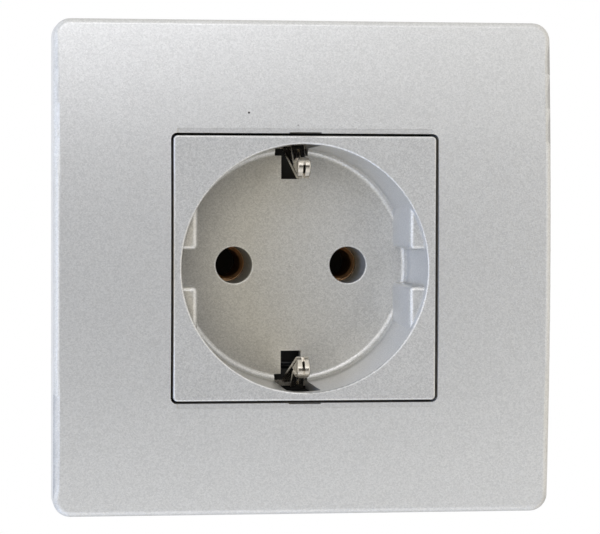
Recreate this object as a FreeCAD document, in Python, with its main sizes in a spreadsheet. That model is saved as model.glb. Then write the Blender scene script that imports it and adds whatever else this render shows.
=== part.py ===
"""Flush type F wall socket: cover frame, support frame, insert, housing and contacts.

Millimetres. X points right, Y into the wall, Z up. The wall plane is Y = 0 and the
origin lies midway between the two fixing slots.
"""
import math
import os
import re

import FreeCAD
import Part
import Sketcher

V = FreeCAD.Vector

SIZES = {
    # cover frame
    "frame_width": 80.0,
    "frame_height": 79.0,
    "frame_apex": 8.8,
    "frame_bow": 2.2,
    "frame_corner": 2.8,
    "frame_round": 1.0,
    "frame_wall": 2.0,
    "collar_wall": 1.3,
    "collar_clear": 0.3,
    "opening_corner": 1.0,
    "gap_width": 0.4,
    "land_width": 0.75,
    "land_drop": 0.1,
    "notch_width": 5.2,
    "notch_rise": 0.25,
    "notch_drop": 1.7,
    "web_thick": 1.2,
    "web_offset": 8.0,
    # clips between cover frame and support frame
    "clip_offset": 18.0,
    "clip_width": 5.2,
    "clip_height": 1.4,
    "clip_clear": 0.2,
    "clip_bite": 1.1,
    "tab_width": 9.0,
    "tab_height": 3.0,
    # support frame
    "plate_side_room": 2.5,
    "plate_end_room": 2.0,
    "plate_thick": 1.5,
    "plate_cut": 7.0,
    "window_clear": 0.3,
    "window_corner": 2.0,
    "fixing_edge": 5.5,
    "fixing_width": 4.2,
    "fixing_length": 7.5,
    # socket insert
    "mouth_diameter": 39.6,
    "mouth_draft": 0.35,
    "recess_depth": 17.5,
    "cup_wall": 1.1,
    "insert_lip": 0.2,
    "insert_drop": 0.4,
    "insert_corner": 0.7,
    "insert_round": 0.3,
    "face_thick": 1.8,
    "skirt_wall": 1.2,
    "floor_thick": 2.2,
    "rim_round": 0.3,
    "floor_round": 1.2,
    "guide_depth": 2.7,
    "guide_drop": 1.6,
    "guide_gap": 5.8,
    "guide_round": 0.75,
    "guide_bury": 0.4,
    "pin_pitch": 19.0,
    "pin_length": 19.0,
    "pin_hole": 6.0,
    "pin_round": 0.25,
    "tube_diameter": 8.4,
    "tube_reach": 10.7,
    "slot_wide": 5.5,
    "slot_narrow": 3.34,
    "slot_lip": 1.75,
    "slot_reach": 3.85,
    "slot_skin": 0.8,
    "slot_start": 0.6,
    "post_diameter": 5.0,
    # rear housing
    "flange_lip": 2.2,
    "flange_thick": 1.5,
    "flange_corner": 2.5,
    "tub_wall": 1.2,
    "tub_clear": 0.2,
    "tub_floor": 1.6,
    "block_wall": 1.6,
    "block_cut": 2.0,
    "back_wall": 2.0,
    "tip_room": 2.2,
    "chamber_clear": 0.25,
    "chamber_room": 0.6,
    "earth_room": 2.6,
    "latch_width": 6.0,
    "latch_length": 2.4,
    "latch_bite": 0.8,
    "latch_clear": 0.15,
    "latch_slit": 0.8,
    "seat_height": 1.8,
    "seat_wall": 1.0,
    "seat_clear": 0.15,
    # earth bracket
    "strip_thick": 0.8,
    "strip_width": 9.0,
    "strip_clear": 0.2,
    "strip_room": 0.9,
    "strip_window_clear": 0.45,
    "strip_bar": 1.0,
    "peg_diameter": 2.4,
    "peg_clear": 0.1,
    "peg_bridge": 0.6,
    "peg_lower": 3.5,
    "finger_width": 2.2,
    "finger_thick": 0.7,
    "finger_edge": 0.3,
    "finger_bend": 0.9,
    "crown_bend": 1.1,
    "crown_round": 1.0,
    "crown_reach": 2.5,
    "finger_foot": 1.0,
    "finger_lean": 2.9,
    "finger_length": 9.8,
    "tip_clear": 0.3,
    "crown_inset": 0.33,
    "crown_drop": 0.29,
    "knee_reach": 7.0,
    "knee_drop": 0.8,
    "end_clear": 0.65,
    "finger_slot": 0.42,
    "finger_slot_end": 0.9,
    "tip_split": 1.2,
    "front_bridge": 1.2,
    "outer_bridge": 3.6,
    "cheek_thick": 0.4,
    "cheek_inset": 0.2,
    "cheek_share": 0.35,
    "tail_offset": 2.0,
    # contacts, springs and terminals
    "sleeve_bore": 4.7,
    "sleeve_wall": 0.6,
    "sleeve_flare": 0.5,
    "sleeve_slit": 0.8,
    "sleeve_gap": 0.4,
    "sleeve_clear": 0.3,
    "spring_wall": 0.6,
    "spring_width": 3.0,
    "spring_clear": 0.05,
    "spring_slit": 1.4,
    "spring_gap": 0.6,
    "tail_thick": 0.8,
    "tail_clear": 0.1,
    "clamp_width": 6.8,
    "clamp_depth": 8.0,
    "clamp_height": 7.2,
    "clamp_wall": 1.1,
    "clamp_place": 13.0,
    "clamp_clear": 0.2,
    "wire_width": 4.8,
    "wire_height": 4.5,
    # screws
    "clamp_thread": 3.0,
    "clamp_head": 5.4,
    "clamp_head_height": 2.0,
    "clamp_lift": 1.1,
    "thread_past": 0.6,
    "case_thread": 2.4,
    "case_head": 4.4,
    "case_head_height": 1.7,
    "case_head_clear": 0.25,
    "case_hole_clear": 0.3,
    "case_screw_length": 4.6,
    "pilot_past": 0.4,
    "screw_clear": 0.05,
    "driver_slot": 0.8,
    "driver_depth": 0.9,
    "driver_clear": 0.4,
    # how far a cutter runs past a surface, and how deep a joined piece is sunk
    "cut_past": 1.0,
    "join_depth": 0.2,
}

# Sizes that several pieces share, worked out in the sheet from the ones above
SHARED = {
    # depths along Y
    "face_depth": "insert_drop - frame_apex",
    "floor_depth": "face_depth + recess_depth",
    "floor_back": "floor_depth + floor_thick",
    "plate_depth": "0 - plate_thick",
    "flange_depth": "plate_depth - flange_thick",
    "collar_back": "flange_depth - collar_clear",
    "clip_depth": "plate_depth - tab_height / 2",
    "strip_depth": "floor_back + strip_clear",
    "tub_depth": "strip_depth + strip_thick",
    "tub_back": "tub_depth + tub_floor",
    "tube_end": "floor_depth + tube_reach",
    "sleeve_depth": "tube_end + sleeve_gap",
    "chamber_back": "floor_depth + pin_length + tip_room",
    "sleeve_back": "chamber_back - sleeve_clear",
    "case_back": "chamber_back + back_wall",
    "tail_depth": "sleeve_depth + tail_clear",
    "tail_back": "tail_depth + tail_thick",
    "clamp_front": "tail_depth - clamp_wall",
    "clamp_back": "clamp_front + clamp_depth",
    "head_front": "clamp_back + clamp_lift",
    "head_back": "head_front + clamp_head_height",
    "case_tip": "plate_depth - case_screw_length",
    "cut_front": "0 - frame_apex - cut_past",
    # half sizes across X and Z
    "frame_side": "frame_width / 2",
    "frame_end": "frame_height / 2",
    "bow_radius": "(frame_end ^ 2 + frame_bow ^ 2) / (2 * frame_bow)",
    "plate_side": "frame_side - frame_wall - plate_side_room",
    "plate_end": "frame_end - frame_wall - plate_end_room",
    "fixing_side": "plate_side - fixing_edge",
    "fixing_end": "plate_end - fixing_edge",
    "mouth_half": "mouth_diameter / 2",
    "floor_half": "mouth_half - mouth_draft",
    "cup_half": "mouth_half + cup_wall",
    "insert_half": "cup_half + insert_lip",
    "opening_half": "insert_half + gap_width",
    "collar_half": "opening_half + collar_wall",
    "land_half": "opening_half + land_width",
    "flat_half": "mouth_half - guide_depth",
    "slot_step": "mouth_half - slot_lip",
    "slot_inner": "slot_step - slot_reach",
    "tub_inner": "cup_half + tub_clear",
    "tub_outer": "tub_inner + tub_wall",
    "window_half": "tub_outer + window_clear",
    "flange_half": "tub_outer + flange_lip",
    "post_place": "(tub_outer + case_head / 2 + case_head_clear) / sqrt(2)",
    "pin_place": "pin_pitch / 2",
    "sleeve_half": "sleeve_bore / 2 + sleeve_wall",
    "chamber_wide": "tube_diameter / 2 + chamber_clear",
    "chamber_narrow": "clamp_width / 2 + clamp_clear",
    "clamp_low": "0 - clamp_place - clamp_height / 2",
    "clamp_high": "clamp_height / 2 - clamp_place",
    "chamber_step": "clamp_high + clamp_clear + chamber_room",
    "chamber_low": "clamp_low - clamp_clear - chamber_room",
    "block_low": "chamber_low - block_wall",
    "block_high": "chamber_wide + block_wall",
    "block_side": "pin_place + chamber_wide + block_wall",
    "tail_width": "clamp_width - 2 * clamp_wall - 2 * tail_clear",
    # earth bracket
    "strip_end": "tub_inner - strip_room",
    "strip_window": "slot_inner - strip_window_clear",
    "peg_upper": "strip_window - peg_bridge - peg_diameter / 2 - peg_clear",
    "finger_root": "strip_end - finger_foot",
    "finger_tip": "slot_inner + tip_clear",
    "finger_crown": "slot_step - crown_inset",
    "finger_end": "cup_half - slot_skin - end_clear",
    "crown_depth": "face_depth + crown_drop",
}

# Radius of the ring on which a sketch outline starts before its sizes apply
START_RING = 30.0
# Tolerance when edges are picked by their place
NEAR = 1e-4

doc = FreeCAD.newDocument("type_f_socket")
sheet = doc.addObject("Spreadsheet::Sheet", "sizes")
finished = []


def fill_sheet():
    """Write every size and every shared size into the sheet under its own name."""
    cells = {alias: str(number) for alias, number in SIZES.items()}
    cells.update({alias: f"={formula}" for alias, formula in SHARED.items()})
    for row, (alias, content) in enumerate(cells.items(), start=1):
        sheet.set(f"A{row}", alias)
        sheet.setAlias(f"B{row}", alias)
        sheet.set(f"B{row}", content)
    doc.recompute()


def size(alias):
    """Read one size from the sheet."""
    return float(sheet.get(alias))


def bound(expression):
    """Point every size name in an expression at its cell of the sheet."""
    return re.sub(r"\b[a-z]+(?:_[a-z]+)+\b", lambda word: "sizes." + word.group(0), expression)


def new_body(label):
    """Start a body that becomes the part file of that name."""
    body = doc.addObject("PartDesign::Body", label)
    body.Label = label
    finished.append(body)
    return body


def new_sketch(body, plane, level):
    """Attach a sketch to one of the body's own planes, moved along its normal."""
    sketch = body.newObject("Sketcher::SketchObject", "outline")
    support = [item for item in body.Origin.OriginFeatures if item.Role == plane][0]
    sketch.AttachmentSupport = (support, [""])
    sketch.MapMode = "FlatFace"
    sketch.setExpression("AttachmentOffset.Base.z", bound(level))
    return sketch


def fix(sketch, kind, geometry, point, number, expression):
    """Add one size to a sketch and bind it to the sheet."""
    if point is None:
        index = sketch.addConstraint(Sketcher.Constraint(kind, geometry, number))
    else:
        index = sketch.addConstraint(Sketcher.Constraint(kind, geometry, point, number))
    sketch.setExpression(f"Constraints[{index}]", bound(expression))


def rectangle(left, right, low, high):
    """Corner expressions of an upright rectangle."""
    return [(left, low), (right, low), (right, high), (left, high)]


def centred(across, up, half_width, half_height):
    """Corner expressions of a rectangle round a middle point."""
    return rectangle(f"{across} - {half_width}", f"{across} + {half_width}",
                     f"{up} - {half_height}", f"{up} + {half_height}")


def draw_polygon(sketch, corners):
    """Draw a closed outline through corners given as expressions."""
    first = sketch.GeometryCount
    count = len(corners)
    turns = [math.tau * i / count for i in range(count)]
    ring = [V(START_RING * math.cos(turn), START_RING * math.sin(turn), 0) for turn in turns]
    for i in range(count):
        sketch.addGeometry(Part.LineSegment(ring[i], ring[(i + 1) % count]), False)
    for i in range(count):
        sketch.addConstraint(Sketcher.Constraint("Coincident", first + i, 2, first + (i + 1) % count, 1))
    for i, (across, up) in enumerate(corners):
        fix(sketch, "DistanceX", first + i, 1, ring[i].x, across)
        fix(sketch, "DistanceY", first + i, 1, ring[i].y, up)


def draw_circle(sketch, across, up, diameter):
    """Draw a circle whose middle and diameter are expressions."""
    index = sketch.addGeometry(Part.Circle(V(1, 1, 0), V(0, 0, 1), 5.0), False)
    fix(sketch, "DistanceX", index, 3, 1.0, across)
    fix(sketch, "DistanceY", index, 3, 1.0, up)
    fix(sketch, "Diameter", index, None, 10.0, diameter)


def draw(sketch, outlines):
    """Draw circles (three values) and polygons (lists of corners)."""
    for outline in outlines:
        if isinstance(outline, tuple):
            draw_circle(sketch, *outline)
        else:
            draw_polygon(sketch, outline)


def add(body, front, back, outlines):
    """Add material between two depths along Y."""
    sketch = new_sketch(body, "XZ_Plane", f"0 - ({back})")
    draw(sketch, outlines)
    pad = body.newObject("PartDesign::Pad", "pad")
    pad.Profile = sketch
    pad.setExpression("Length", bound(f"({back}) - ({front})"))
    doc.recompute()
    return pad


def remove(body, front, back, outlines):
    """Cut material away between two depths along Y."""
    before = body.Shape.Volume
    sketch = new_sketch(body, "XZ_Plane", f"0 - ({front})")
    draw(sketch, outlines)
    pocket = body.newObject("PartDesign::Pocket", "pocket")
    pocket.Profile = sketch
    pocket.setExpression("Length", bound(f"({back}) - ({front})"))
    doc.recompute()
    if body.Shape.Volume >= before:
        raise RuntimeError(f"a cut in {body.Label} removed nothing")
    return pocket


def side_feature(body, kind, width, draw_outline):
    """Add or cut an outline drawn on the YZ plane, evenly about X = 0."""
    sketch = new_sketch(body, "YZ_Plane", "0")
    draw_outline(sketch)
    item = body.newObject(kind, "side")
    item.Profile = sketch
    item.SideType = "Symmetric"
    item.setExpression("Length", bound(width))
    doc.recompute()
    return item


def dress(body, kind, value, test):
    """Round or chamfer the edges of a body that pass a test."""
    base = body.Tip
    names = [f"Edge{i}" for i, edge in enumerate(base.Shape.Edges, start=1)
             if not edge.Degenerated and test(edge)]
    if not names:
        raise RuntimeError(f"no edge to dress on {body.Label}")
    item = body.newObject(kind, "edges")
    item.Base = (base, names)
    item.setExpression("Size" if kind.endswith("Chamfer") else "Radius", bound(value))
    doc.recompute()
    return item


def ends(edge):
    """End points of an edge."""
    return [vertex.Point for vertex in edge.Vertexes]


def along(edge, axis):
    """Tell whether a straight edge runs along X, Y or Z (0, 1 or 2)."""
    points = ends(edge)
    if len(points) != 2 or not isinstance(edge.Curve, Part.Line):
        return False
    step = points[1] - points[0]
    return abs(abs(step[axis]) - step.Length) < NEAR


def level(edge, axis, number):
    """Tell whether a whole edge lies at one coordinate."""
    box = edge.BoundBox
    low, high = ((box.XMin, box.XMax), (box.YMin, box.YMax), (box.ZMin, box.ZMax))[axis]
    return abs(low - number) < NEAR and abs(high - number) < NEAR


def ring_edge(edge, depth, radius):
    """Tell whether an edge is a circle of that radius at that depth."""
    return (isinstance(edge.Curve, Part.Circle) and level(edge, 1, depth)
            and abs(edge.Curve.Radius - radius) < NEAR)


def four_ways():
    """Signs of the four corners."""
    return [(side, end) for side in ("1", "-1") for end in ("1", "-1")]


def bow_at(half):
    """Depth of the bowed front at a height above the middle."""
    return f"(frame_bow * ({half} / frame_end) ^ 2 - frame_apex)"


def draw_bowed(sketch, wall, back):
    """Draw the bowed side outline of the cover frame, moved inwards by a wall."""
    inset = size(wall) if wall in SIZES else 0.0
    start = size(back) if back in SIZES else 0.0
    radius = size("bow_radius") - inset
    half = size("frame_end") - inset
    middle = size("bow_radius") - size("frame_apex")
    edge = middle - math.sqrt(radius ** 2 - half ** 2)
    turn = math.asin(half / radius)
    corners = [V(start, -half, 0), V(start, half, 0), V(edge, half, 0), V(edge, -half, 0)]
    arc = Part.ArcOfCircle(Part.Circle(V(middle, 0, 0), V(0, 0, 1), radius), math.pi - turn, math.pi + turn)
    sketch.addGeometry(Part.LineSegment(corners[0], corners[1]), False)
    sketch.addGeometry(Part.LineSegment(corners[1], corners[2]), False)
    sketch.addGeometry(arc, False)
    sketch.addGeometry(Part.LineSegment(corners[3], corners[0]), False)
    for first, second in ((0, 1), (1, 2), (2, 3), (3, 0)):
        sketch.addConstraint(Sketcher.Constraint("Coincident", first, 2, second, 1))
    height = f"(frame_end - {wall})"
    bend = f"(bow_radius - {wall})"
    rise = f"(bow_radius - frame_apex - sqrt({bend} ^ 2 - {height} ^ 2))"
    for i, (depth, up) in enumerate(((back, f"0 - {height}"), (back, height), (rise, height),
                                     (rise, f"0 - {height}"))):
        fix(sketch, "DistanceX", i, 1, corners[i].x, depth)
        fix(sketch, "DistanceY", i, 1, corners[i].y, up)
    fix(sketch, "Radius", 2, None, radius, bend)


def cover_frame():
    """Square clip-on frame, bowed in the vertical direction, open in the middle."""
    body = new_body("cover_frame")
    side_feature(body, "PartDesign::Pad", "frame_width", lambda sketch: draw_bowed(sketch, "0", "0"))
    dress(body, "PartDesign::Fillet", "frame_corner", lambda edge: along(edge, 1))
    dress(body, "PartDesign::Fillet", "frame_round",
          lambda edge: not along(edge, 1) and edge.BoundBox.YMax < -NEAR)
    side_feature(body, "PartDesign::Pocket", "frame_width - 2 * frame_wall",
                 lambda sketch: draw_bowed(sketch, "frame_wall", "cut_past"))
    # collar round the opening, down to just above the housing flange
    skin = "frame_wall / 2"
    add(body, f"{bow_at('opening_half')} + {skin}", "collar_back",
        [centred("0", "0", "collar_half", "collar_half")])
    # stiffening webs between collar and outer wall
    upright = [rectangle(f"{side} * web_offset - web_thick / 2", f"{side} * web_offset + web_thick / 2",
                         f"{end} * (collar_half - {skin})", f"{end} * (frame_end - {skin})")
               for side, end in four_ways()]
    add(body, f"{bow_at('((collar_half + frame_end) / 2)')} + {skin}", "collar_back", upright)
    lying = [rectangle(f"{side} * (collar_half - {skin})", f"{side} * (frame_side - {skin})",
                       f"{end} * web_offset - web_thick / 2", f"{end} * web_offset + web_thick / 2")
             for side, end in four_ways()]
    add(body, f"{skin} - frame_apex", "collar_back", lying)
    remove(body, "cut_front", "cut_past", [centred("0", "0", "opening_half", "opening_half")])
    corner = size("opening_half")
    dress(body, "PartDesign::Fillet", "opening_corner",
          lambda edge: along(edge, 1) and abs(abs(edge.Vertexes[0].X) - corner) < NEAR
          and abs(abs(edge.Vertexes[0].Z) - corner) < NEAR)
    # flat lands above and below the opening
    land = f"({bow_at('land_half')} + land_drop)"
    remove(body, "cut_front", land, [centred("0", "0", "(opening_half - opening_corner)", "land_half")])
    # pry notches in the middle of the upper and lower edge of the opening
    for end in ("1", "-1"):
        notch = [("cut_front", f"{end} * (opening_half - cut_past)"),
                 ("cut_front", f"{end} * (opening_half + notch_rise)"),
                 ("0 - frame_apex", f"{end} * (opening_half + notch_rise)"),
                 (f"{land} + notch_drop", f"{end} * opening_half"),
                 (f"{land} + notch_drop", f"{end} * (opening_half - cut_past)")]
        side_feature(body, "PartDesign::Pocket", "notch_width", lambda sketch: draw_polygon(sketch, notch))
    # snap noses that reach into the tab windows of the support frame
    noses = [rectangle(f"{side} * clip_offset - clip_width / 2", f"{side} * clip_offset + clip_width / 2",
                       f"{end} * (plate_end - clip_bite)", f"{end} * (frame_end - {skin})")
             for side, end in four_ways()]
    add(body, "clip_depth - clip_height / 2", "clip_depth + clip_height / 2", noses)


def support_frame():
    """Pressed plate with a window, fixing slots and four upturned tabs."""
    body = new_body("support_frame")
    side_cut = "plate_side - plate_cut"
    end_cut = "plate_end - plate_cut"
    add(body, "plate_depth", "0",
        [[("0 - plate_side", f"0 - ({end_cut})"), (f"0 - ({side_cut})", "0 - plate_end"),
          (side_cut, "0 - plate_end"), ("plate_side", f"0 - ({end_cut})"),
          ("plate_side", end_cut), (side_cut, "plate_end"),
          (f"0 - ({side_cut})", "plate_end"), ("0 - plate_side", end_cut)]])
    before = "plate_depth - cut_past"
    remove(body, before, "cut_past", [centred("0", "0", "window_half", "window_half")])
    corner = size("window_half")
    dress(body, "PartDesign::Fillet", "window_corner",
          lambda edge: along(edge, 1) and abs(abs(edge.Vertexes[0].X) - corner) < NEAR)
    straight = "((fixing_length - fixing_width) / 2)"
    for sign in ("1", "-1"):
        x = f"{sign} * fixing_side"
        z = f"{sign} * fixing_end"
        remove(body, before, "cut_past", [centred(x, "0", straight, "fixing_width / 2")])
        remove(body, before, "cut_past", [centred("0", z, "fixing_width / 2", straight)])
        for end in ("1", "-1"):
            remove(body, before, "cut_past", [(f"{x} + {end} * {straight}", "0", "fixing_width")])
            remove(body, before, "cut_past", [("0", f"{z} + {end} * {straight}", "fixing_width")])
    opening = "(clip_width / 2 + clip_clear)"
    inner = "(plate_end - plate_thick)"
    tabs = []
    windows = []
    for side, end in four_ways():
        x = f"{side} * clip_offset"
        tabs.append(rectangle(f"{x} - tab_width / 2", f"{x} + tab_width / 2",
                              f"{end} * {inner}", f"{end} * plate_end"))
        windows.append(rectangle(f"{x} - {opening}", f"{x} + {opening}",
                                 f"{end} * ({inner} - cut_past)", f"{end} * (plate_end + cut_past)"))
    add(body, "plate_depth - tab_height", "0", tabs)
    half = "(clip_height / 2 + clip_clear)"
    remove(body, f"clip_depth - {half}", f"clip_depth + {half}", windows)


def socket_insert():
    """Front face and plug recess in one moulding."""
    body = new_body("socket_insert")
    face = size("face_depth")
    floor = size("floor_depth")
    add(body, "face_depth", "flange_depth", [centred("0", "0", "insert_half", "insert_half")])
    dress(body, "PartDesign::Fillet", "insert_corner", lambda edge: along(edge, 1))
    dress(body, "PartDesign::Fillet", "insert_round", lambda edge: level(edge, 1, face))
    inner = "(insert_half - skirt_wall)"
    remove(body, "face_depth + face_thick", "cut_past", [centred("0", "0", inner, inner)])
    add(body, "face_depth", "floor_back", [("0", "0", "2 * cup_half")])
    add(body, "face_depth + face_thick / 2", "flange_depth",
        [(f"{side} * post_place", f"{end} * post_place", "post_diameter") for side, end in four_ways()])
    pins = [("pin_place", "0"), ("0 - pin_place", "0")]
    add(body, "floor_depth + floor_thick / 2", "tube_end", [(*place, "tube_diameter") for place in pins])
    # plug recess with a little draft, turned about Y
    sketch = new_sketch(body, "XY_Plane", "0")
    draw_polygon(sketch, [("0", "face_depth - cut_past"),
                          ("mouth_half + mouth_draft * cut_past / recess_depth", "face_depth - cut_past"),
                          ("floor_half", "floor_depth"), ("0", "floor_depth")])
    groove = body.newObject("PartDesign::Groove", "recess")
    groove.Profile = sketch
    groove.ReferenceAxis = (sketch, ["V_Axis"])
    groove.Angle = 360.0
    doc.recompute()
    mouth = size("mouth_half")
    bottom = size("floor_half")
    dress(body, "PartDesign::Fillet", "rim_round", lambda edge: ring_edge(edge, face, mouth))
    dress(body, "PartDesign::Fillet", "floor_round", lambda edge: ring_edge(edge, floor, bottom))
    # four guide ribs, triangles whose long side is buried in the cup wall
    buried = "(cup_half - guide_bury)"
    near = "(guide_gap / 2)"
    for side in ("1", "-1"):
        ribs = [[(f"{side} * flat_half", f"{end} * {near}"),
                 (f"{side} * sqrt({buried} ^ 2 - {near} ^ 2)", f"{end} * {near}"),
                 (f"{side} * flat_half", f"{end} * sqrt({buried} ^ 2 - flat_half ^ 2)")]
                for end in ("1", "-1")]
        add(body, "face_depth + guide_drop", "floor_depth + floor_thick / 2", ribs)
    flat = size("flat_half")
    gap = size("guide_gap") / 2
    top = face + size("guide_drop")

    def rib_edge(edge):
        points = ends(edge)
        if len(points) != 2 or edge.BoundBox.YMin < top - NEAR:
            return False
        on_flat = all(abs(abs(point.x) - flat) < NEAR for point in points)
        on_gap = all(abs(abs(point.z) - gap) < NEAR for point in points)
        if along(edge, 1):
            return on_flat and on_gap
        return level(edge, 1, top) and ((along(edge, 2) and on_flat) or (along(edge, 0) and on_gap))

    dress(body, "PartDesign::Fillet", "guide_round", rib_edge)
    remove(body, "floor_depth - cut_past", "tube_end + cut_past", [(*place, "pin_hole") for place in pins])
    dress(body, "PartDesign::Fillet", "pin_round",
          lambda edge: ring_edge(edge, floor, size("pin_hole") / 2))
    # earth slots: a wide one in the wall, a narrow one further in across the floor
    wide = "slot_wide / 2"
    narrow = "slot_narrow / 2"
    for end in ("1", "-1"):
        remove(body, "face_depth + face_thick", "floor_back + cut_past",
               [rectangle(f"0 - {wide}", wide, f"{end} * slot_step", f"{end} * (cup_half - slot_skin)")])
        remove(body, "flange_depth + slot_start", "floor_back + cut_past",
               [rectangle(f"0 - {wide}", wide, f"{end} * slot_step", f"{end} * (cup_half + cut_past)")])
        remove(body, "floor_depth - cut_past", "floor_back + cut_past",
               [rectangle(f"0 - {narrow}", narrow,
                          f"{end} * slot_inner", f"{end} * (slot_step + join_depth)")])
    # pilot holes for the two housing screws
    remove(body, "case_tip - pilot_past", "flange_depth + cut_past",
           [(f"{sign} * post_place", f"{sign} * post_place", "case_thread + 2 * screw_clear")
            for sign in ("1", "-1")])


def rear_housing():
    """Insulating back body: flange, round tub and terminal block."""
    body = new_body("rear_housing")
    add(body, "flange_depth", "plate_depth", [centred("0", "0", "flange_half", "flange_half")])
    dress(body, "PartDesign::Fillet", "flange_corner", lambda edge: along(edge, 1))
    add(body, "flange_depth", "tub_back", [("0", "0", "2 * tub_outer")])
    side_cut = "(block_side - block_cut)"
    add(body, "tub_depth", "case_back",
        [[(f"0 - {side_cut}", "block_low"), (side_cut, "block_low"),
          ("block_side", "block_low + block_cut"), ("block_side", "block_high - block_cut"),
          (side_cut, "block_high"), (f"0 - {side_cut}", "block_high"),
          ("0 - block_side", "block_high - block_cut"), ("0 - block_side", "block_low + block_cut")]])
    remove(body, "flange_depth - cut_past", "tub_depth", [("0", "0", "2 * tub_inner")])
    # chambers for the contacts and clamps
    start = "tub_depth - join_depth"
    for sign in ("1", "-1"):
        x = f"{sign} * pin_place"
        remove(body, start, "chamber_back",
               [[(f"{x} - chamber_wide", "chamber_step"), (f"{x} - chamber_narrow", "chamber_step"),
                 (f"{x} - chamber_narrow", "chamber_low"), (f"{x} + chamber_narrow", "chamber_low"),
                 (f"{x} + chamber_narrow", "chamber_step"), (f"{x} + chamber_wide", "chamber_step"),
                 (f"{x} + chamber_wide", "chamber_wide"), (f"{x} - chamber_wide", "chamber_wide")]])
    remove(body, start, "chamber_back",
           [rectangle("0 - chamber_narrow", "chamber_narrow", "chamber_low", "chamber_step + earth_room")])
    # round seats that hold the rear ends of the contact sleeves
    seat = "2 * (sleeve_half + seat_clear)"
    for sign in ("1", "-1"):
        x = f"{sign} * pin_place"
        add(body, "chamber_back - seat_height", "chamber_back + join_depth",
            [(x, "0", f"{seat} + 2 * seat_wall"), (x, "0", seat)])
    # screwdriver windows in the back and wire entries from below
    window = "(clamp_head / 2 + driver_clear)"
    for sign in ("-1", "0", "1"):
        x = f"{sign} * pin_place"
        remove(body, "chamber_back - join_depth", "case_back + cut_past",
               [centred(x, "0 - clamp_place", window, window)])
        remove(body, "tail_back", "tail_back + wire_height",
               [rectangle(f"{x} - wire_width / 2", f"{x} + wire_width / 2",
                          "block_low - cut_past", "chamber_low + join_depth")])
    # latches that catch behind the support frame, with a slit on each side
    root = "(tub_outer - tub_wall / 2)"
    nose = "(tub_outer + latch_bite)"
    slit = "((latch_width + latch_slit) / 2)"
    for end in ("1", "-1"):
        latch = [("latch_clear", f"{end} * {root}"), ("latch_clear", f"{end} * {nose}"),
                 ("latch_clear + latch_length / 3", f"{end} * {nose}"),
                 ("latch_clear + latch_length", f"{end} * {root}")]
        side_feature(body, "PartDesign::Pad", "latch_width", lambda sketch: draw_polygon(sketch, latch))
        slits = [rectangle(f"{sign} * {slit} - latch_slit / 2", f"{sign} * {slit} + latch_slit / 2",
                           f"{end} * (tub_inner - cut_past)", f"{end} * (tub_outer + cut_past)")
                 for sign in ("1", "-1")]
        remove(body, "latch_clear", "latch_clear + 3 * latch_length", slits)
    # pegs that locate the earth bracket
    add(body, "tub_depth - strip_thick", "tub_depth + join_depth",
        [("0", "peg_upper", "peg_diameter"), ("0", "0 - peg_lower", "peg_diameter")])
    remove(body, "flange_depth - cut_past", "plate_depth + cut_past",
           [(f"{sign} * post_place", f"{sign} * post_place", "case_thread + 2 * case_hole_clear")
            for sign in ("1", "-1")])


def rounded_path(points, bends):
    """Edges through points, with each inner corner rounded to its own radius."""
    edges = []
    start = points[0]
    for before, corner, after, bend in zip(points, points[1:], points[2:], bends):
        back = (before - corner).normalize()
        ahead = (after - corner).normalize()
        half = back.getAngle(ahead) / 2
        first = corner + back * (bend / math.tan(half))
        last = corner + ahead * (bend / math.tan(half))
        middle = corner + (back + ahead).normalize() * (bend / math.sin(half) - bend)
        edges.append(Part.LineSegment(start, first).toShape())
        edges.append(Part.Arc(first, middle, last).toShape())
        start = last
    edges.append(Part.LineSegment(start, points[-1]).toShape())
    return edges


def ribbon(points, bends, width, thick, edge):
    """Bent strip of even thickness with rounded long edges, along a path in the YZ plane."""
    heading = (points[1] - points[0]).normalize()
    side = V(1, 0, 0)
    lift = heading.cross(side)
    outline = []
    for a, b in ((1, 1), (-1, 1), (-1, -1), (1, -1)):
        corner = points[0] + side * (a * width / 2) + lift * (b * thick / 2)
        across = corner - side * (a * edge)
        down = corner - lift * (b * edge)
        diagonal = edge * (1 - math.sqrt(0.5))
        middle = corner - side * (a * diagonal) - lift * (b * diagonal)
        outline.append((down, middle, across) if a * b > 0 else (across, middle, down))
    edges = []
    for i, (first, middle, last) in enumerate(outline):
        edges.append(Part.Arc(first, middle, last).toShape())
        edges.append(Part.LineSegment(last, outline[(i + 1) % 4][0]).toShape())
    return Part.Wire(rounded_path(points, bends)).makePipeShell([Part.Wire(edges)], True, False)


def polygon(corners):
    """Edges of a closed polygon."""
    return Part.makePolygon([*corners, corners[0]]).Edges


def side_prism(edges, left, right):
    """Prism with a closed outline in the YZ plane between two places along X."""
    face = Part.Face(Part.Wire(edges))
    face.translate(V(left, 0, 0))
    return face.extrude(V(right - left, 0, 0))


def leg_slot(start, end, first, last, thick, width):
    """Cutter for a slot along one leg, between two distances from its start."""
    ahead = (end - start).normalize()
    off = V(1, 0, 0).cross(ahead) * thick
    near = start + ahead * first
    far = start + ahead * last
    return side_prism(polygon([near - off, far - off, far + off, near + off]), -width / 2, width / 2)


def arch_cutters(centre, outer, width, corner, depth):
    """Two cutters that round the corners of a finger's crown to an arch, seen from the front."""
    top = centre.z + outer
    front = centre.y - outer
    bulge = corner * math.sqrt(0.5)
    cutters = []
    for sign in (-1, 1):
        edge = sign * width / 2
        middle = edge - sign * corner
        beyond = edge + sign * corner
        low = V(edge, front, top - corner)
        arc = Part.Arc(V(middle, front, top), V(middle + sign * bulge, front, low.z + bulge), low).toShape()
        rest = Part.makePolygon([low, V(beyond, front, low.z), V(beyond, front, top + corner),
                                 V(middle, front, top + corner), V(middle, front, top)])
        cutters.append(Part.Face(Part.Wire([arc, *rest.Edges])).extrude(V(0, depth, 0)))
    return cutters


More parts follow.
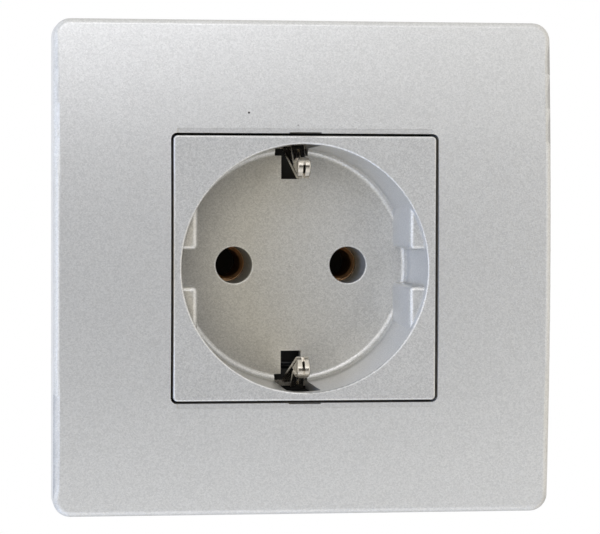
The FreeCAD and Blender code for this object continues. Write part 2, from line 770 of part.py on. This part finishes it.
def earth_finger():
    """Upper earth finger: it leans in from its foot to the tip, then turns back over the crown."""
    thick = size("finger_thick")
    width = size("finger_width")
    bend = size("crown_bend")
    foot_depth = size("tub_depth") - thick / 2
    crown_depth = size("crown_depth")
    foot = V(0, foot_depth, size("strip_end"))
    root = V(0, foot_depth, size("finger_root"))
    tip = V(0, crown_depth + size("finger_lean"), size("finger_tip"))
    crown = V(0, crown_depth, size("finger_crown"))
    knee = V(0, crown_depth + size("knee_reach"), size("finger_crown") - size("knee_drop"))
    end = V(0, crown_depth + size("finger_length"), size("finger_end"))
    finger = ribbon([foot, root, tip, crown, knee, end], [size("finger_bend"), bend, bend, bend],
                    width, thick, size("finger_edge"))
    # side cheeks between the leaning leg and the outer leg
    on_lean = tip + (root - tip) * size("cheek_share")
    outline = rounded_path([on_lean, tip, crown, knee], [bend, bend])
    outline.append(Part.LineSegment(knee, on_lean).toShape())
    outside = width / 2 - size("cheek_inset")
    inside = outside - size("cheek_thick")
    cheeks = [side_prism(outline, -outside, -inside), side_prism(outline, inside, outside)]
    # slots in the front leg, which is split past its tip, and in the outer leg
    slot = size("finger_slot")
    split = size("tip_split")
    front_end = (crown - tip).Length - size("front_bridge")
    outer_end = (end - knee).Length - size("finger_slot_end")
    slots = [leg_slot(tip, crown, -split, front_end, thick, slot),
             leg_slot(tip, root, -split, split, thick, slot),
             leg_slot(crown, knee, size("outer_bridge"), (knee - crown).Length, thick, slot),
             leg_slot(knee, end, -split, outer_end, thick, slot)]
    # the crown's corners, round its bend
    inward = ((tip - crown).normalize() + (knee - crown).normalize()).normalize()
    half = (tip - crown).getAngle(knee - crown) / 2
    centre = crown + inward * (bend / math.sin(half))
    corners = arch_cutters(centre, bend + thick / 2, width, size("crown_round"), size("crown_reach"))
    return finger.fuse(cheeks).cut(slots + corners)


def earth_bracket():
    """One strip with a slotted earth finger at each end and a terminal tail."""
    thick = size("strip_thick")
    half = size("strip_width") / 2
    reach = size("strip_end")
    depth = size("strip_depth")
    shape = Part.makeBox(2 * half, thick, 2 * reach, V(-half, depth, -reach))
    # windows behind the floor slots, each with a bar left at the end for the finger's foot
    opening = size("slot_wide") / 2 + size("strip_window_clear")
    start = size("strip_window")
    length = reach - size("strip_bar") - start
    window = Part.makeBox(2 * opening, 3 * thick, length, V(-opening, depth - thick, start))
    up = V(0, 0, 1)
    shape = shape.cut([window, window.mirror(V(0, 0, 0), up)])
    finger = earth_finger()
    # tail that runs back from the strip and down into the earth clamp
    tail = size("tail_thick")
    width = size("tail_width")
    tail_depth = size("tail_depth")
    drop = size("clamp_place") - size("clamp_height") / 2 - size("tail_offset")
    low = size("clamp_low")
    arm = Part.makeBox(width, tail_depth + tail - depth, tail, V(-width / 2, depth, -drop))
    leg = Part.makeBox(width, tail, tail - drop - low, V(-width / 2, tail_depth, low))
    shape = shape.fuse([finger, finger.mirror(V(0, 0, 0), up), arm, leg]).removeSplitter()
    hole = size("peg_diameter") / 2 + size("peg_clear")
    for z in (size("peg_upper"), -size("peg_lower")):
        shape = shape.cut(Part.makeCylinder(hole, 3 * thick, V(0, depth - thick, z), V(0, 1, 0)))
    item = doc.addObject("Part::Feature", "earth_bracket")
    item.Label = "earth_bracket"
    item.Shape = shape
    finished.append(item)


def contact(label, sign):
    """Split contact sleeve with a tail into its clamp."""
    body = new_body(label)
    x = f"{sign} * pin_place"
    add(body, "sleeve_depth", "sleeve_back", [(x, "0", "2 * sleeve_half"), (x, "0", "sleeve_bore")])
    mouth = size("sleeve_depth")
    dress(body, "PartDesign::Chamfer", "sleeve_flare",
          lambda edge: ring_edge(edge, mouth, size("sleeve_bore") / 2))
    add(body, "tail_depth", "tail_back",
        [rectangle(f"{x} - tail_width / 2", f"{x} + tail_width / 2",
                   "clamp_low", "0 - sleeve_bore / 2 - sleeve_wall / 2")])
    remove(body, "sleeve_depth - cut_past", "sleeve_back + cut_past",
           [rectangle(f"{x} - sleeve_slit / 2", f"{x} + sleeve_slit / 2",
                      "cut_past", "sleeve_half + cut_past")])


def contact_spring(label, sign):
    """Open steel ring round a contact sleeve."""
    body = new_body(label)
    x = f"{sign} * pin_place"
    inner = "2 * (sleeve_half + spring_clear)"
    back = "chamber_back - seat_height - spring_gap"
    front = f"{back} - spring_width"
    add(body, front, back, [(x, "0", f"{inner} + 2 * spring_wall"), (x, "0", inner)])
    remove(body, f"{front} - cut_past", f"{back} + cut_past",
           [rectangle(f"{x} - spring_slit / 2", f"{x} + spring_slit / 2",
                      "cut_past", "sleeve_half + spring_wall + cut_past")])


def terminal_clamp(label, sign):
    """Square cage that pulls the wire against the tail."""
    body = new_body(label)
    x = f"{sign} * pin_place"
    half = "clamp_width / 2"
    add(body, "clamp_front", "clamp_back",
        [rectangle(f"{x} - {half}", f"{x} + {half}", "clamp_low", "clamp_high")])
    remove(body, "clamp_front + clamp_wall", "clamp_back - clamp_wall",
           [rectangle(f"{x} - {half} + clamp_wall", f"{x} + {half} - clamp_wall",
                      "clamp_low - cut_past", "clamp_high + cut_past")])
    remove(body, "clamp_back - clamp_wall - join_depth", "clamp_back + cut_past",
           [(x, "0 - clamp_place", "clamp_thread + 2 * screw_clear")])


def cylinder(name, diameter, front, back, across, up):
    """Cylinder along Y between two depths."""
    item = doc.addObject("Part::Cylinder", name)
    item.setExpression("Radius", bound(f"{diameter} / 2"))
    item.setExpression("Height", bound(f"({back}) - ({front})"))
    item.Placement = FreeCAD.Placement(V(0, 0, 0), FreeCAD.Rotation(V(1, 0, 0), -90))
    item.setExpression("Placement.Base.x", bound(across))
    item.setExpression("Placement.Base.y", bound(front))
    item.setExpression("Placement.Base.z", bound(up))
    return item


def screw(thread, head, depths, across, up):
    """Slotted screw with its head to the back, from the depths of tip, head front and head back."""
    tip, head_front, head_back = depths
    whole = doc.addObject("Part::MultiFuse", "blank")
    whole.Shapes = [cylinder("shank", thread, tip, f"{head_front} + join_depth", across, up),
                    cylinder("head", head, head_front, head_back, across, up)]
    slot = doc.addObject("Part::Box", "slot")
    slot.setExpression("Length", bound(f"{head} + 2 * cut_past"))
    slot.setExpression("Width", bound("driver_depth + cut_past"))
    slot.setExpression("Height", bound("driver_slot"))
    slot.setExpression("Placement.Base.x", bound(f"{across} - {head} / 2 - cut_past"))
    slot.setExpression("Placement.Base.y", bound(f"{head_back} - driver_depth"))
    slot.setExpression("Placement.Base.z", bound(f"{up} - driver_slot / 2"))
    item = doc.addObject("Part::Cut", "screw")
    item.Base = whole
    item.Tool = slot
    return item


def group(label, items):
    """Join equal loose pieces into one part file."""
    item = doc.addObject("Part::Compound", label)
    item.Label = label
    item.Links = items
    finished.append(item)


def export():
    """Check every piece and write it to its own file."""
    doc.recompute()
    for item in doc.Objects:
        if "Invalid" in item.State or "Error" in item.State:
            raise RuntimeError(f"{item.Name} did not compute")
    os.makedirs("parts", exist_ok=True)
    for item in finished:
        shape = item.Shape
        if shape.isNull() or not shape.isValid():
            raise RuntimeError(f"{item.Label} has no sound shape")
        shape.exportStep(f"parts/{item.Label}.step")
        box = shape.BoundBox
        print(f"{item.Label}: {len(shape.Solids)} solids, {shape.Volume:.1f} mm3, "
              f"X {box.XMin:.2f} {box.XMax:.2f} "
              f"Y {box.YMin:.2f} {box.YMax:.2f} Z {box.ZMin:.2f} {box.ZMax:.2f}")


def main():
    fill_sheet()
    cover_frame()
    support_frame()
    socket_insert()
    rear_housing()
    earth_bracket()
    for name, sign in (("line", "-1"), ("neutral", "1")):
        contact(f"{name}_contact", sign)
        contact_spring(f"{name}_contact_spring", sign)
        terminal_clamp(f"{name}_terminal_clamp", sign)
    terminal_clamp("earth_terminal_clamp", "0")
    clamp_depths = ("clamp_back - clamp_wall - thread_past", "head_front", "head_back")
    group("terminal_screws", [screw("clamp_thread", "clamp_head", clamp_depths, f"{sign} * pin_place",
                                    "0 - clamp_place") for sign in ("-1", "0", "1")])
    case_depths = ("case_tip", "plate_depth", "plate_depth + case_head_height")
    group("housing_screws", [screw("case_thread", "case_head", case_depths, f"{sign} * post_place",
                                   f"{sign} * post_place") for sign in ("-1", "1")])
    export()


main()
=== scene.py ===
"""Silver flush wall socket: finishes of every piece, soft studio light and the photograph's camera."""
import math

import bmesh
import bpy
from mathutils import Matrix, Vector


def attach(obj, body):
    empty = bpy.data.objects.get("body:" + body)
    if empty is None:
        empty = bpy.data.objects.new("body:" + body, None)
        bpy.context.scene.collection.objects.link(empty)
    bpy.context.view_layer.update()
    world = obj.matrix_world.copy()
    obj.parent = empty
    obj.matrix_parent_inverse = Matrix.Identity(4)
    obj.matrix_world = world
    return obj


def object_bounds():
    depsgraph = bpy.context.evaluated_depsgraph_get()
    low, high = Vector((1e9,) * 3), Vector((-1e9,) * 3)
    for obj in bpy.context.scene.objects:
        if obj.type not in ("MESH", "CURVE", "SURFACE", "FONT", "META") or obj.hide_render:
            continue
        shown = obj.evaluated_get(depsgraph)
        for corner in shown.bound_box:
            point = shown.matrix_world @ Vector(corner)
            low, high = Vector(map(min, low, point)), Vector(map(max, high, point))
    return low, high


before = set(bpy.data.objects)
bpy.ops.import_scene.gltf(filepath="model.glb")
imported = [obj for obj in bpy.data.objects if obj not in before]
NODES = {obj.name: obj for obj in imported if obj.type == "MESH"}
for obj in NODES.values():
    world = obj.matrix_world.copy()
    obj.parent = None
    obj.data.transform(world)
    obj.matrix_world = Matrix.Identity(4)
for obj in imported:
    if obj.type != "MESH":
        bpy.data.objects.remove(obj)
cad_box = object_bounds()

MM = 0.001

# Camera, found from the pin spacing and the recess depth in the photograph
CAMERA_PLACE = Vector((-60.9, -440.2, 14.7)) * MM
CAMERA_YAW = math.radians(7.91)
CAMERA_PITCH = math.radians(-1.90)
CAMERA_ROLL = math.radians(0.19)
LENS_MM = 164.46
SENSOR_MM = 36.0
CLIP_START = 10 * MM

# Floor, so far below that a camera under the socket still stands above it
FLOOR_BELOW = 800 * MM
FLOOR_SIZE = 5.6
FLOOR_DARK = 0.78
FLOOR_LIGHT = 0.82
FLOOR_MOTTLE = 20 * MM
FLOOR_ROUGHNESS = 0.7
FLOOR_GLOW = 0.30   # paleness that the camera and mirrors see, and that lights no matt surface

# Lamps: name, place, width, power, colour and whether glossy surfaces mirror it
LAMPS = (
    ("key", (-0.98, -0.66, -0.02), 1.00, 18.52, (0.40, 0.58, 1.00), False),
    ("front", (-0.25, -1.05, 0.02), 0.80, 9.60, (1.00, 0.90, 0.66), False),
    ("side", (1.15, -0.48, 0.05), 0.50, 2.00, (1.00, 0.80, 0.55), False),
    ("top", (-0.04, -0.62, 0.30), 0.30, 0.43, (0.89, 0.91, 1.00), True),
)

# Light of the white surroundings on matt surfaces, as a share of what mirrors and the camera see
AMBIENT = 0.4

# Soft dark card behind the camera, which the silver paint mirrors
CARD_PLACE = (0.02, -0.75, -0.01)
CARD_RADIUS = 0.38
CARD_CORE = 0.14
CARD_STEPS = 64
CARD_COLOUR = (0.010, 0.006, 0.002, 1.0)

# Silver paint: middle tone, and how far its flakes go to each side on the frame and on the insert
PAINT_TONE = (0.58, 0.572, 0.547)
FRAME_FLAKES = 0.16
INSERT_FLAKES = 0.21
PAINT_METALLIC = 0.60
PAINT_ROUGHNESS = 0.27
FLAKE_SIZE = 0.18 * MM
CLOUD_SIZE = 0.35 * MM
DRIFT_SIZE = 7.0 * MM
PEEL_SIZE = 0.30 * MM
PEEL_DEPTH = 0.010 * MM

# Specks of dust on the cover frame: place and width in millimetres, and how dark
DUST = (
    ((-9.09, -7.93, 24.73), 0.42, 1.0),
    ((-1.22, -8.07, 22.76), 0.32, 0.45),
)
DUST_COLOUR = (0.03, 0.028, 0.025, 1.0)

# Black plastic: size and depth of its eroded pits, size of its cloudy tone
PIT_SIZE = 0.22 * MM
PIT_DEPTH = 0.02 * MM
TONE_SIZE = 4.0 * MM

# Bare metal: spacing, length and depth of its drawn lines
LINE_SPACING = 0.12 * MM
LINE_LENGTH = 3.0 * MM
LINE_DEPTH = 0.004 * MM

# Sprue mark in the recess: rings as shares of its radius and of its height
GATE_RADIUS = 0.32 * MM
GATE_RISE = 0.10 * MM
GATE_RINGS = ((1.0, -0.02), (1.0, 0.35), (0.8, 0.85), (0.45, 0.7), (0.3, 0.3))
GATE_STEPS = 24
RECESS_FLOOR_Y = 9.1 * MM


class Value:
    """A shader socket whose arithmetic adds Math nodes."""

    def __init__(self, finish, socket):
        self.finish = finish
        self.socket = socket

    def maths(self, operation, first, second):
        return self.finish.node("ShaderNodeMath", {"operation": operation}, {0: first, 1: second})

    def __add__(self, other):
        return self.maths("ADD", self, other)

    def __radd__(self, other):
        return self.maths("ADD", other, self)

    def __sub__(self, other):
        return self.maths("SUBTRACT", self, other)

    def __rsub__(self, other):
        return self.maths("SUBTRACT", other, self)

    def __mul__(self, other):
        return self.maths("MULTIPLY", self, other)

    def __rmul__(self, other):
        return self.maths("MULTIPLY", other, self)


class Finish:
    """A node tree with one method that adds any node."""

    def __init__(self, tree):
        self.tree = tree
        tree.nodes.clear()

    def node(self, kind, settings=None, sockets=None, output=0):
        """Add a node, set it up, feed its sockets and give back one output."""
        made = self.tree.nodes.new(kind)
        for name, setting in (settings or {}).items():
            setattr(made, name, setting)
        for name, given in (sockets or {}).items():
            if isinstance(given, Value):
                self.tree.links.new(given.socket, made.inputs[name])
            else:
                made.inputs[name].default_value = given
        return Value(self, made.outputs[output]) if made.outputs else None

    def where(self):
        """The place on the piece, in metres."""
        return self.node("ShaderNodeTexCoord", output="Object")

    def scaled(self, grain):
        """The place on the piece, with one unit for a grain of that size in metres."""
        return self.node("ShaderNodeVectorMath", {"operation": "SCALE"},
                         {0: self.where(), "Scale": 1.0 / grain})

    def noise(self, grain, detail=2.0):
        """Soft noise from 0 to 1 with that grain in metres."""
        return self.node("ShaderNodeTexNoise", {},
                         {"Vector": self.scaled(grain), "Scale": 1.0, "Detail": detail})

    def flakes(self, size):
        """Flakes of that size in metres, each with its own level from 0 to 1."""
        cells = self.node("ShaderNodeTexVoronoi", {}, {"Vector": self.scaled(size), "Scale": 1.0}, "Color")
        return self.node("ShaderNodeSeparateColor", {}, {"Color": cells}, "Red")

    def blend(self, amount, first, second):
        """Colour between two colours."""
        return self.node("ShaderNodeMix", {"data_type": "RGBA"}, {0: amount, 6: first, 7: second}, 2)

    def fade(self, value, start, end):
        """Smooth step from 0 at the start to 1 at the end."""
        return self.node("ShaderNodeMapRange", {"interpolation_type": "SMOOTHSTEP"},
                         {"Value": value, "From Min": start, "From Max": end})

    def speck(self, centre, width):
        """Mask of a small round mark at a place in metres."""
        away = self.node("ShaderNodeVectorMath", {"operation": "DISTANCE"}, {0: self.where(), 1: centre}, "Value")
        return self.fade(away, 0.5 * width, 0.3 * width)

    def bump(self, height, depth):
        """Normal from a height of 0 to 1 that stands for a depth in metres."""
        return self.node("ShaderNodeBump", {}, {"Height": height, "Distance": depth, "Strength": 1.0})

    def matt_ray(self):
        """1 for light on its way from a matt surface, 0 for what the camera and mirrors see."""
        return self.node("ShaderNodeLightPath", output="Is Diffuse Ray")

    def surface(self, **sockets):
        """Finish the tree with the principled shader."""
        names = {name.replace("_", " "): given for name, given in sockets.items()}
        shader = self.node("ShaderNodeBsdfPrincipled", {}, names)
        self.node("ShaderNodeOutputMaterial", {}, {"Surface": shader})


def new_finish(name):
    """Start an empty material and give it with its tree."""
    material = bpy.data.materials.new(name)
    material.use_nodes = True
    return material, Finish(material.node_tree)


def put(name, data):
    """Add an object to the scene."""
    made = bpy.data.objects.new(name, data)
    bpy.context.scene.collection.objects.link(made)
    return made


def grey(level):
    """A plain grey."""
    return (level, level, level, 1.0)


def silver_paint(name, contrast, dust=()):
    """Silver metallic paint: fine flakes in a clear film with slight orange peel."""
    material, finish = new_finish(name)
    dark, light = ((*(part * (1 + side * contrast) for part in PAINT_TONE), 1.0) for side in (-1, 1))
    flake = finish.flakes(FLAKE_SIZE)
    cloud = finish.noise(CLOUD_SIZE, 3.0)
    drift = finish.noise(DRIFT_SIZE)
    colour = finish.blend(flake * 0.62 + cloud * 0.28 + drift * 0.10, dark, light)
    for centre, width, darkness in dust:
        mark = finish.speck(tuple(Vector(centre) * MM), width * MM)
        colour = finish.blend(mark * darkness, colour, DUST_COLOUR)
    peel = finish.noise(PEEL_SIZE)
    finish.surface(Base_Color=colour, Metallic=PAINT_METALLIC, Roughness=PAINT_ROUGHNESS + cloud * 0.06,
                   Normal=finish.bump(peel * 0.6 + flake * 0.4, PEEL_DEPTH))
    return material


def black_moulding():
    """Matte black insulating plastic with a fine eroded texture."""
    material, finish = new_finish("black_moulding")
    pit = finish.noise(PIT_SIZE, 4.0)
    colour = finish.blend(finish.noise(TONE_SIZE), grey(0.006), grey(0.014))
    finish.surface(Base_Color=colour, Roughness=0.48 + pit * 0.16, Specular_IOR_Level=0.25,
                   Normal=finish.bump(pit, PIT_DEPTH))
    return material


def bare_metal(name, dark, light, roughness, grain):
    """Metal with a clouded plating and fine drawn lines."""
    material, finish = new_finish(name)
    cloud = finish.noise(grain, 4.0)
    drawn = finish.node("ShaderNodeVectorMath", {"operation": "MULTIPLY"},
                        {0: finish.where(), 1: (1 / LINE_SPACING, 1 / LINE_LENGTH, 1 / LINE_LENGTH)})
    lines = finish.node("ShaderNodeTexNoise", {}, {"Vector": drawn, "Scale": 1.0, "Detail": 3.0})
    colour = finish.blend(cloud, (*dark, 1.0), (*light, 1.0))
    finish.surface(Base_Color=colour, Metallic=1.0, Roughness=roughness + lines * 0.08 + cloud * 0.06,
                   Normal=finish.bump(lines, LINE_DEPTH))
    return material


def dress_nodes():
    """Give every CAD node its finish, and give back the insert's paint."""
    frame_silver = silver_paint("frame_silver_paint", FRAME_FLAKES, DUST)
    insert_silver = silver_paint("insert_silver_paint", INSERT_FLAKES)
    black = black_moulding()
    zinc = bare_metal("bright_zinc", (0.52, 0.53, 0.55), (0.68, 0.69, 0.70), 0.30, 2.5 * MM)
    yellow = bare_metal("yellow_zinc", (0.50, 0.44, 0.30), (0.68, 0.61, 0.44), 0.26, 1.2 * MM)
    blued = bare_metal("blued_spring_steel", (0.16, 0.17, 0.20), (0.28, 0.29, 0.33), 0.30, 1.0 * MM)
    dark_zinc = bare_metal("black_passivated_zinc", (0.05, 0.05, 0.05), (0.10, 0.10, 0.105), 0.38, 2.0 * MM)
    nickel = bare_metal("nickel_plate", (0.54, 0.49, 0.41), (0.74, 0.69, 0.60), 0.19, 1.0 * MM)
    brass = bare_metal("plain_brass", (0.66, 0.38, 0.19), (0.82, 0.52, 0.28), 0.34, 1.0 * MM)
    finishes = {
        "cover_frame": frame_silver,
        "socket_insert": insert_silver,
        "support_frame": zinc,
        "rear_housing": black,
        "earth_bracket": nickel,
        "terminal_screws": yellow,
        "housing_screws": yellow,
    }
    for name in ("line", "neutral"):
        finishes[f"{name}_contact"] = brass
        finishes[f"{name}_contact_spring"] = blued
    for name in ("line", "neutral", "earth"):
        finishes[f"{name}_terminal_clamp"] = dark_zinc
    for name, material in finishes.items():
        slots = NODES[name].data.materials
        slots.clear()
        slots.append(material)
    return insert_silver


def gate_mark(material):
    """Tiny sprue mark that the mould leaves in the middle of the recess floor."""
    outline = bmesh.new()
    turns = [math.tau * i / GATE_STEPS for i in range(GATE_STEPS)]
    rings = []
    for share, lift in GATE_RINGS:
        radius = share * GATE_RADIUS
        y = RECESS_FLOOR_Y - lift * GATE_RISE
        rings.append([outline.verts.new((radius * math.cos(turn), y, radius * math.sin(turn))) for turn in turns])
    for outer, inner in zip(rings, rings[1:]):
        for i in range(GATE_STEPS):
            j = (i + 1) % GATE_STEPS
            outline.faces.new((outer[i], inner[i], inner[j], outer[j]))
    outline.faces.new(rings[-1])
    outline.faces.new(list(reversed(rings[0])))
    bmesh.ops.recalc_face_normals(outline, faces=outline.faces)
    mesh = bpy.data.meshes.new("gate_mark")
    outline.to_mesh(mesh)
    outline.free()
    mesh.materials.append(material)
    piece = put("gate_mark", mesh)
    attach(piece, "root")


def white_room():
    """White surroundings, which light matt surfaces less than they show to mirrors and the camera."""
    world = bpy.data.worlds.new("white_room")
    bpy.context.scene.world = world
    world.use_nodes = True
    room = Finish(world.node_tree)
    strength = 1.0 - room.matt_ray() * (1.0 - AMBIENT)
    white = room.node("ShaderNodeBackground", {}, {"Color": grey(1.0), "Strength": strength})
    world.cycles.sampling_method = "NONE"
    room.node("ShaderNodeOutputWorld", {}, {"Surface": white})


def pale_floor():
    """Plain pale floor far below the socket."""
    half = FLOOR_SIZE / 2
    level = cad_box[0][2] - FLOOR_BELOW
    corners = [(x * half, y * half, level) for x, y in ((-1, -1), (1, -1), (1, 1), (-1, 1))]
    mesh = bpy.data.meshes.new("floor")
    mesh.from_pydata(corners, [], [(0, 1, 2, 3)])
    floor = put("floor", mesh)
    material, finish = new_finish("pale_floor")
    colour = finish.blend(finish.noise(FLOOR_MOTTLE), grey(FLOOR_DARK), grey(FLOOR_LIGHT))
    finish.surface(Base_Color=colour, Roughness=FLOOR_ROUGHNESS,
                   Emission_Color=FLOOR_GLOW - finish.matt_ray() * FLOOR_GLOW, Emission_Strength=1.0)
    material.cycles.emission_sampling = "NONE"
    mesh.materials.append(material)


def soft_lamps():
    """Wide lamps that face the socket."""
    for name, place, size, power, colour, mirrored in LAMPS:
        lamp = bpy.data.lights.new(name, "AREA")
        lamp.shape = "DISK"
        lamp.size = size
        lamp.energy = power
        lamp.color = colour
        holder = put(name, lamp)
        holder.visible_glossy = mirrored
        holder.location = place
        holder.rotation_euler = (-Vector(place)).to_track_quat("-Z", "Y").to_euler()


def camera_card():
    """Round card behind the camera, dark in the middle and white at its rim."""
    turns = [math.tau * i / CARD_STEPS for i in range(CARD_STEPS)]
    rim = [(CARD_RADIUS * math.cos(turn), 0, CARD_RADIUS * math.sin(turn)) for turn in turns]
    mesh = bpy.data.meshes.new("camera_card")
    mesh.from_pydata(rim, [], [tuple(range(CARD_STEPS))])
    card = put("camera_card", mesh)
    card.location = CARD_PLACE
    material, finish = new_finish("soft_dark_card")
    reach = finish.node("ShaderNodeVectorMath", {"operation": "LENGTH"}, {0: finish.where()}, "Value")
    dull = finish.node("ShaderNodeEmission", {}, {"Color": CARD_COLOUR, "Strength": 1.0})
    white = finish.node("ShaderNodeEmission", {}, {"Color": grey(1.0), "Strength": 1.0})
    mixed = finish.node("ShaderNodeMixShader", {}, {0: finish.fade(reach, CARD_CORE, CARD_RADIUS), 1: dull, 2: white})
    finish.node("ShaderNodeOutputMaterial", {}, {"Surface": mixed})
    mesh.materials.append(material)
    card.visible_camera = False
    card.visible_shadow = False


def photograph_camera():
    """Camera at the photograph's place, turn and focal length."""
    lens = bpy.data.cameras.new("camera")
    lens.sensor_fit = "HORIZONTAL"
    lens.sensor_width = SENSOR_MM
    lens.lens = LENS_MM
    lens.clip_start = CLIP_START
    camera = put("camera", lens)
    turn = (Matrix.Rotation(-CAMERA_YAW, 4, "Z")
            @ Matrix.Rotation(math.pi / 2 + CAMERA_PITCH, 4, "X")
            @ Matrix.Rotation(CAMERA_ROLL, 4, "Z"))
    camera.matrix_world = Matrix.Translation(CAMERA_PLACE) @ turn
    bpy.context.scene.camera = camera


bpy.context.scene.view_settings.view_transform = "Standard"
gate_mark(dress_nodes())
white_room()
pale_floor()
soft_lamps()
camera_card()
photograph_camera()
